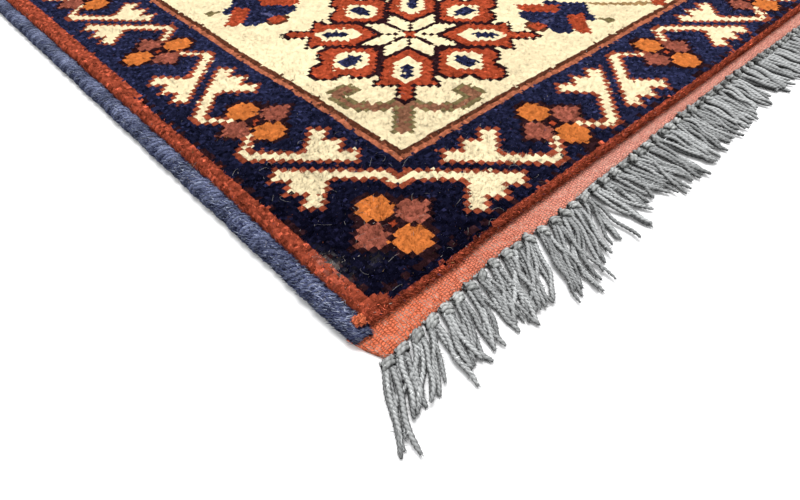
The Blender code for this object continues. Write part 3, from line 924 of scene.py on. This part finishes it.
# The left cord has its finest stations where the photograph looks closest
left_y = np.concatenate([np.arange(-CORD_REACH, FINER_END, 0.0005), np.arange(FINER_END, FINE_END, 0.0008),
                         np.linspace(FINE_END, CORD_REACH, 480)])
right_y = np.linspace(-CORD_REACH, CORD_REACH, 900)
for side, name, stands_for, stations, sides in ((-1, "side_cord_left", "selvedge_left", left_y, 16),
                                                (1, "side_cord_right", "selvedge_right", right_y, 12)):
    y, angle = np.meshgrid(stations, np.arange(sides) * 2 * math.pi / sides, indexing="ij")
    points, phase, each = cord_points(y, angle, side)
    faces = ring_faces(len(y), sides)[:, ::-1]
    # Painted light on the cord: a highlight on top, a little paler farther along, and painted shade below and
    # on the outer side, deepest between the crowded wraps; each wrap also has its own tone
    outer = (side * np.cos(angle) + 0.3).clip(0, 1) * (0.5 - 0.5 * bunched(y))
    pale = ((0.5 + 0.5 * np.sin(angle + 0.25 * each)) * (1 - 0.85 * outer))[..., None]
    far = ((y + 0.60) / 0.25).clip(0, 1)[..., None]
    low, near_highlight, far_highlight = yarn_colour(CORD_SEEN)
    colour = low * (1 - pale) + (near_highlight * (1 - far) + far_highlight * far) * pale
    colour = (colour * (1 + 0.38 * each[..., None])).reshape(-1, 3)
    uv = corner_uv(faces, np.stack([math.pi * phase, 0 * phase], axis=-1).reshape(-1, 2), sides,
                   math.pi * WRAP_STARTS * side)
    new_piece(name, points.reshape(-1, 3), faces, cord_wool, stands_for, uv=uv,
              yarn=colour[faces])

# Wool fibres brushed along the turns, and hairs that stand off them, on the
# photographed stretch of the left cord
FUZZ_FROM, FUZZ_COUNT = 0.05, 22000
BRUSHED_SHARE = 0.85
FUZZ_SEEN = np.array([(28, 30, 56), (80, 86, 120), (124, 132, 162), (176, 184, 204)])
y = -CORD_REACH + (CORD_REACH + FUZZ_FROM) * rng.random(FUZZ_COUNT) ** 1.7
angle = rng.uniform(-0.5, math.pi, FUZZ_COUNT)
root, _, _ = cord_points(y, angle, -1)
brushed = rng.random(FUZZ_COUNT) < BRUSHED_SHARE
heading = np.where(brushed, rng.choice([-1.0, 2.14], FUZZ_COUNT) + rng.normal(0, 0.30, FUZZ_COUNT),
                   rng.uniform(0, 2 * math.pi, FUZZ_COUNT))
lean = np.where(brushed, rng.normal(1.45, 0.12, FUZZ_COUNT), np.abs(rng.normal(0.9, 0.35, FUZZ_COUNT)))
points, faces = blades(root, rng.uniform(0.0009, 0.0026, FUZZ_COUNT), lean, heading,
                       np.where(brushed, rng.uniform(0.0002, 0.0004, FUZZ_COUNT), 0.00014))
colour = yarn_colour(FUZZ_SEEN)[rng.choice(4, FUZZ_COUNT, p=(0.34, 0.36, 0.24, 0.06))]
# Painted light on the fibres: paler on the cord's top, with painted shade on its sides
colour = colour * (0.30 + 0.75 * np.sin(angle).clip(0, 1))[:, None]
new_piece("side_cord_left_fibres", points, faces, tuft_wool, "selvedge_left", yarn=colour,
          smooth=False)

# Fringe: the warps themselves, plied light grey yarn, gathered in an overhand knot
# against the kilim, five strands to a lock, and left to lie on the floor.
LOCKS, LOCK_PITCH, STRANDS = 125, 0.00724, 5
# Lean of the locks and length of their strands at each x along the end
LEAN_X = (-0.455, -0.449, -0.441, -0.435, -0.422, -0.415, -0.403, -0.389, -0.377, -0.370, -0.359,
          -0.349, -0.330, -0.316, -0.312, -0.297, -0.285, -0.266, -0.255, -0.243, -0.217, -0.190,
          -0.100, 0.050, 0.200, 0.380, 0.455)
LEAN_DEGREES = (37, 35, 33, 28, 27, 28, 22, 22, 32, 38, 36, 34, 20, 2, -11, -10, 4, -3, 6, 2, 14, 4,
                5, 20, -10, -18, -35)
LENGTH_X = (-0.449, -0.441, -0.435, -0.428, -0.415, -0.403, -0.390, -0.377, -0.365, -0.355, -0.349,
            -0.330, -0.310, -0.297, -0.280, -0.250, -0.217, 0.100, 0.300, 0.449)
LENGTH = (0.0295, 0.0220, 0.0235, 0.0250, 0.0270, 0.0235, 0.0275, 0.0285, 0.0335, 0.0345, 0.0310,
          0.0260, 0.0220, 0.0250, 0.0270, 0.0250, 0.0230, 0.0265, 0.0240, 0.0290)
PLY_RADIUS, PLY_OFFSET, PLY_PITCH = 0.00070, 0.00034, 0.0038
STRAND_RADIUS = 0.00102
KNOT_FROM, KNOT_HEIGHT = 0.0008, 0.0024
COIL_TURNS, COIL_RADIUS, COIL_LENGTH, COIL_HALF_W, COIL_HALF_H = 2.5, 0.00100, 0.0040, 0.0018, 0.0015
CORE_LENGTH, CORE_RADIUS = 0.0050, 0.0018
WARPS, WARP_RADIUS, WARP_PITCH, WARP_REACH = 4, 0.00060, 0.0017, 0.0020
# Fringe yarn and knot colours, from the painted shade below each yarn to the painted light on its top
YARN_SEEN_GREY = np.array([(10, 11, 12), (212, 214, 214)])
KNOT_SEEN_GREY = np.array([(30, 31, 32), (210, 212, 210)])
# The knot's core inside the coil gets painted shade
CORE_SHADE = 0.6
fringe_wool = wound_material("fringe_yarn", 1800.0, 0.28, 0.45, 0.0003)


def frames_of(paths):
    """Way along, level across and over, as unit vectors at each point of the paths, and
    the run of the path up to it. Over is square to the other two."""
    along = np.gradient(paths, axis=1)
    along /= np.linalg.norm(along, axis=-1, keepdims=True)
    upright = np.where(np.abs(along[..., 2:]) > 0.93, (1.0, 0.0, 0.0), (0.0, 0.0, 1.0))
    across = np.cross(along, upright)
    across /= np.linalg.norm(across, axis=-1, keepdims=True)
    step = np.linalg.norm(np.diff(paths, axis=1), axis=-1)
    run = np.concatenate([np.zeros((len(paths), 1)), np.cumsum(step, axis=1)], axis=1)
    return across, np.cross(across, along), run


def tubes(paths, radius, sides, seen, grooved=False, centre=None):
    """Round yarns along many paths at once, paths (n, m, 3) and radius (n, m).

    Each ring is a circle square to its path. The yarn has painted shade below and painted light above, by the
    height over the centre as a share of the yarn's reach: the centre is given for a ply, and is the path
    itself otherwise. If grooved, the uv turns the material's groove with the run.
    """
    n, m, _ = paths.shape
    across, over, run = frames_of(paths)
    angle = np.arange(sides) * 2 * math.pi / sides
    points = (paths[:, :, None, :] + across[:, :, None, :] * (np.cos(angle) * radius[..., None])[..., None]
              + over[:, :, None, :] * (np.sin(angle) * radius[..., None])[..., None])
    faces = ring_faces(m, sides)
    faces = (faces[None] + np.arange(n)[:, None, None] * m * sides).reshape(-1, 4)
    extent = radius[..., None] if centre is None else PLY_RADIUS + PLY_OFFSET
    middle = paths[..., 2] if centre is None else centre
    light = (0.5 + 0.5 * (points[..., 2] - middle[..., None]) / extent).clip(0, 1) ** 2.3
    light = (light * np.random.default_rng(n).uniform(0.58, 1.08, (n, 1, 1)))[..., None]
    low, high = yarn_colour(seen)
    colour = low + (high - low) * light
    uv = np.zeros((n, m, sides, 2)) + (math.pi / 2, 0.0)
    if grooved:
        uv = np.stack(np.broadcast_arrays(angle, run[..., None] * 2 * math.pi / PLY_PITCH), axis=-1)
    uv = corner_uv(faces, uv.reshape(-1, 2), sides, 2 * math.pi if grooved else 0.0)
    return points.reshape(-1, 3), faces, colour.reshape(-1, 3), uv


def plied(paths, size, sides, seen, phase):
    """Two plies wound round each path: each is the path moved off by the ply offset
    times size, turning once in the ply pitch. Size is (n, m) and phase (n, 1)."""
    across, over, run = frames_of(paths)
    made = []
    for ply in range(2):
        angle = (2 * math.pi * run / PLY_PITCH + math.pi * ply + phase)[..., None]
        moved = (np.cos(angle) * across + np.sin(angle) * over) * PLY_OFFSET * size[..., None]
        made.append(tubes(paths + moved, PLY_RADIUS * size, sides, seen, centre=paths[..., 2]))
    return made


def joined(parts):
    """Several shapes as one: their points, their faces with the numbers moved on, and
    their colours and corner uv."""
    points, faces, colour, uv = zip(*parts)
    starts = np.cumsum([0] + [len(some) for some in points[:-1]])
    faces = [some + start for some, start in zip(faces, starts)]
    return [np.concatenate(some) for some in (points, faces, colour, uv)]


def fringe_locks(first, last, seed, fine, sides):
    """Locks first to last of one end, in the near end's place.

    A strand leaves its knot, sinks to the floor as a falling exponential of the distance,
    and wanders sideways by slow sines on its lock's heading. The knot is a coil round a
    rounded core, and four warps run into it from the kilim's edge.
    """
    rng = np.random.default_rng(seed)
    count = last - first
    lock_x = LOCK_PITCH * (np.arange(first, last) - (LOCKS - 1) / 2) + rng.normal(0, 0.0004, count)
    lean = np.radians(np.interp(lock_x, LEAN_X, LEAN_DEGREES)) + rng.normal(0, 0.06, count)
    way, side, root = (np.stack([x, y, 0 * x], axis=-1)[:, None, None] for x, y in (
        (-np.sin(lean), -np.cos(lean)), (np.cos(lean), -np.sin(lean)), (lock_x, -skirt_end(lock_x) - 0.0004)))

    def placed(ahead, sideways, height):
        """Paths so far ahead of each lock's root, sideways of it and up."""
        points = root + way * ahead + side * sideways + np.array([0.0, 0.0, 1.0]) * height
        return points.reshape(-1, points.shape[2], 3)

    def each(low, high):
        """A random number for each strand."""
        return rng.uniform(low, high, (count, STRANDS, 1, 1))

    t = np.linspace(0, 1, 50 if fine else 11)[:, None]
    slot = (np.arange(STRANDS) - (STRANDS - 1) / 2)[:, None, None] + each(-0.3, 0.3)
    s = t * (np.interp(lock_x, LENGTH_X, LENGTH)[:, None, None, None] + each(-0.0055, 0.0018))
    turn = slot * 0.03 + rng.normal(0, 0.09, (count, STRANDS, 1, 1))
    bend = rng.normal(0, 0.0020, (count, 1, 1, 1)) + rng.normal(0, 0.0018, (count, STRANDS, 1, 1))
    wander = each(0.0003, 0.0011) * np.sin(t * each(4.0, 9.0) + each(0, 6.28)) * np.minimum(1, 2 * t)
    sideways = slot * 0.0015 * (0.55 + 0.45 * t) + np.sin(turn) * s + bend * t ** 2 + wander
    layer = rng.permuted(np.tile(np.arange(STRANDS), (count, 1)), axis=1)[..., None, None] % 3
    rest = STRAND_RADIUS * (1.05 + 1.25 * layer * np.exp(-0.9 * t))
    height = rest + (KNOT_HEIGHT - rest) * np.exp(-s / 0.004)
    height = height + 0.0012 * each(0, 1) ** 2 * np.sin(t * each(3.0, 8.0)) ** 2
    paths = placed(KNOT_FROM + 0.85 * COIL_LENGTH + np.cos(turn) * s, sideways,
                   np.maximum(height, STRAND_RADIUS * 1.02))
    size = 1 + rng.normal(0, 0.10, (len(paths), 1)).clip(-0.2, 0.2)
    size = size * (1 - 0.45 * t.T ** 14)
    start_phase = rng.uniform(0, 6.28, (len(paths), 1))
    parts = (plied(paths, size, 4, YARN_SEEN_GREY, start_phase) if fine else
             [tubes(paths, STRAND_RADIUS * size, sides, YARN_SEEN_GREY, grooved=True)])
    u = np.linspace(0, 1, 40 if fine else 13)[:, None]
    angle = u * COIL_TURNS * 2 * math.pi + rng.uniform(0, 6.28, (count, 1, 1, 1))
    swell = (1 - 0.34 * (2 * u - 1) ** 2) * (1 + rng.normal(0, 0.10, (count, 1, 1, 1)))
    tilt = rng.uniform(-0.0014, 0.0014, (count, 1, 1, 1))
    paths = placed(KNOT_FROM + COIL_LENGTH * u + tilt * np.cos(angle), COIL_HALF_W * swell * np.cos(angle),
                   KNOT_HEIGHT + COIL_HALF_H * swell * np.sin(angle))
    thick = np.full(paths.shape[:2], COIL_RADIUS)
    thick[:, [0, -1]] *= 0.5
    parts.append(tubes(paths, thick, 8 if fine else sides, KNOT_SEEN_GREY, grooved=True))
    u = np.linspace(0, 1, 7)[:, None]
    thick = CORE_RADIUS * np.sqrt(1 - (1.9 * (u[:, 0] - 0.5)) ** 2) * np.ones((count, 1))
    parts.append(tubes(placed(KNOT_FROM - 0.0002 + CORE_LENGTH * u, 0.0, KNOT_HEIGHT - 0.0003), thick,
                       sides + 2, KNOT_SEEN_GREY * CORE_SHADE))
    u = np.linspace(0, 1, 6 if fine else 2)[:, None]
    slot = (np.arange(WARPS) - (WARPS - 1) / 2)[:, None, None]
    start = root + slot * np.array([WARP_PITCH, 0.0, 0.0]) + np.array([0.0, 0.0008, 0.0008])
    stop = root + way * WARP_REACH + side * slot * 0.0006 + np.array([0.0, 0.0, 0.0018])
    paths = (start * (1 - u) + stop * u).reshape(-1, len(u), 3)
    parts.append(tubes(paths, np.full(paths.shape[:2], WARP_RADIUS), sides, YARN_SEEN_GREY))
    return joined(parts)


# The locks that show close up are plied, and the others are grooved yarns with fewer sides
FINE_LOCKS = 30
for name, stands_for, turn, settings in (
        ("fringe_near_corner", "fringe_near", 1.0, (0, FINE_LOCKS, 5, True, 6)),
        ("fringe_near_rest", "fringe_near", 1.0, (FINE_LOCKS, LOCKS, 6, False, 6)),
        ("fringe_far_strands", "fringe_far", -1.0, (0, LOCKS, 7, False, 4))):
    points, faces, colour, uv = fringe_locks(*settings)
    points[:, 2] = points[:, 2].clip(UNDERSIDE, None)
    points = lie(points) * (turn, turn, 1.0)
    new_piece(name, points, faces, fringe_wool, stands_for, uv=uv, yarn=colour[faces])
    if name == "fringe_near_corner":
        fine_points, fine_colour = points, colour

# Loose fibres: short hairs that stand off the fine locks' yarn, and longer curved pale
# hairs caught on the pile and the left cord near the corner
FRINGE_HAIRS = 24000
HAIR_PALER = (40, 41, 42)
picked = rng.integers(0, len(fine_points), FRINGE_HAIRS)
root = fine_points[picked]
lean = np.radians(np.interp(root[:, 0], LEAN_X, LEAN_DEGREES))
heading = -math.pi / 2 - lean + rng.normal(0, 0.7, FRINGE_HAIRS)
points, faces = blades(root, rng.uniform(0.0008, 0.0022, FRINGE_HAIRS),
                       np.abs(rng.normal(1.35, 0.25, FRINGE_HAIRS)), heading,
                       rng.uniform(0.00012, 0.00030, FRINGE_HAIRS))
# Each hair takes the painted light and shade of the yarn at its root, with a random tone and a paler cast
colour = fine_colour[picked] * rng.uniform(0.3, 1.8, (FRINGE_HAIRS, 1)) + yarn_colour(HAIR_PALER)
points[:, 2] = points[:, 2].clip(UNDERSIDE, None)
new_piece("fringe_near_fibres", points, faces, tuft_wool, "fringe_near", yarn=colour,
          smooth=False)

HAIRS_ON_PILE, HAIRS_ON_CORD = 90, 26
HAIR_RADIUS = 0.00005
# Hair colours, from painted shade below to painted light on top
HAIR_SEEN = np.array([(150, 146, 140), (206, 200, 192)])
for name, stands_for, finish, root in (
        ("hairs_on_pile", "rug_body", "pile_wool",
         pile_face(rng.uniform(-11, 26, HAIRS_ON_PILE), rng.uniform(-9, 24, HAIRS_ON_PILE))),
        ("hairs_on_cord", "selvedge_left", "side_wool",
         cord_points(rng.uniform(-0.62, -0.45, HAIRS_ON_CORD), rng.uniform(0.8, 3.0, HAIRS_ON_CORD), -1)[0])):
    count = len(root)
    t = np.linspace(0, 1, 7)[None, :]
    heading = rng.uniform(0, 2 * math.pi, (count, 1)) + rng.normal(0, 0.9, (count, 1)) * t
    run = rng.uniform(0.002, 0.006, (count, 1)) * t
    rise = 0.0004 + rng.uniform(0.0004, 0.0016, (count, 1)) * np.sin(math.pi * 0.8 * t)
    path = root[:, None, :] + np.stack([np.cos(heading) * run, np.sin(heading) * run, rise], axis=-1)
    points, faces, colour, _ = tubes(path, np.full((count, 7), HAIR_RADIUS) * (1 - 0.6 * t), 3, HAIR_SEEN)
    new_piece(name, points, faces, tuft_wool, stands_for, yarn=colour[faces])

# Loose end beside the left cord: a bright salmon tuft of the kilim's weft that sticks
# out between the cord and the pile, with a navy yarn end under it
TUFT_AT = np.array([-0.4482, -0.6222, 0.0064])
TUFT_BLADES = 900
TUFT_SEEN = (240, 126, 86)
root = TUFT_AT + rng.normal(0, 1, (TUFT_BLADES, 3)).clip(-1.7, 1.7) * (0.0012, 0.0012, 0.0008)
points, faces = blades(root, rng.uniform(0.0005, 0.0010, TUFT_BLADES),
                       np.abs(rng.normal(0.8, 0.5, TUFT_BLADES)), rng.uniform(0, 2 * math.pi, TUFT_BLADES),
                       rng.uniform(0.0004, 0.0008, TUFT_BLADES))
colour = yarn_colour(TUFT_SEEN) * rng.uniform(0.60, 1.30, (TUFT_BLADES, 1))
new_piece("loose_weft_tuft", points, faces, tuft_wool, "rug_body", yarn=colour, smooth=False)

# Navy yarn end colours, from painted shade below to painted light on top
NAVY_SEEN = np.array([(16, 16, 30), (62, 60, 92)])
YARN_END_RADIUS = 0.00075
# Where each navy yarn end starts, which way it goes, and how high its arch is
YARN_ENDS = (((-0.4502, -0.6240, 0.0058), (0.0040, 0.0002, -0.0016), 0.0012),
             ((-0.4506, -0.6254, 0.0046), (0.0040, 0.0000, -0.0020), 0.0010),
             ((-0.4494, -0.6228, 0.0060), (0.0036, -0.0002, -0.0014), 0.0008))
t = np.linspace(0, 1, 9)[:, None]
paths = np.stack([np.array(start) + np.array(way) * t + np.array([0.0, 0.0, lift]) * np.sin(math.pi * t)
                  for start, way, lift in YARN_ENDS])
points, faces, colour, uv = tubes(paths, np.full(paths.shape[:2], YARN_END_RADIUS), 8, NAVY_SEEN,
                                  grooved=True)
new_piece("loose_navy_yarn", points, faces, cord_wool, "selvedge_left", uv=uv,
          yarn=colour[faces])

# Studio light: a white room all round, and a wide soft sun high over the rug. The sun
# leans some 12 degrees to the rug's far right, so it falls slightly towards the camera.
ROOM_STRENGTH, SUN_STRENGTH = 1.0, 2.4
SUN_SPREAD, SUN_TILT_X, SUN_TILT_Y = math.radians(30), math.radians(-11), math.radians(6)
world = bpy.data.worlds.new("white_room")
world.use_nodes = True
background = world.node_tree.nodes["Background"]
background.inputs["Color"].default_value = (1.0, 1.0, 1.0, 1.0)
background.inputs["Strength"].default_value = ROOM_STRENGTH
bpy.context.scene.world = world
lamp_data = bpy.data.lights.new("soft_lamp", "SUN")
lamp_data.angle = SUN_SPREAD
lamp_data.energy = SUN_STRENGTH
lamp = bpy.data.objects.new("soft_lamp", lamp_data)
bpy.context.scene.collection.objects.link(lamp)
lamp.location = (0.25, 0.78, 1.90)
lamp.rotation_euler = (SUN_TILT_X, SUN_TILT_Y, 0.0)

# Camera, held low over the near left corner and looking across the rug
YAW, PITCH, ROLL = math.radians(47.70), math.radians(45.35), math.radians(-0.84)
CAMERA_PLACE = (-0.52142, -0.72369, 0.16672)
LENS_MM, SENSOR_MM = 26.72, 36.0
forward = np.array([math.cos(YAW) * math.cos(PITCH), math.sin(YAW) * math.cos(PITCH), -math.sin(PITCH)])
right = np.array([math.sin(YAW), -math.cos(YAW), 0.0])
up = np.cross(right, forward)
turned_right = math.cos(ROLL) * right + math.sin(ROLL) * up
turned_up = -math.sin(ROLL) * right + math.cos(ROLL) * up
camera_data = bpy.data.cameras.new("camera")
camera_data.lens = LENS_MM
camera_data.sensor_width = SENSOR_MM
camera_data.clip_start = 0.01
camera = bpy.data.objects.new("camera", camera_data)
bpy.context.scene.collection.objects.link(camera)
matrix = camera.matrix_world.copy()
for row in range(3):
    matrix[row][0] = turned_right[row]
    matrix[row][1] = turned_up[row]
    matrix[row][2] = -forward[row]
    matrix[row][3] = CAMERA_PLACE[row]
camera.matrix_world = matrix
bpy.context.scene.camera = camera
bpy.context.scene.view_settings.view_transform = "Standard"
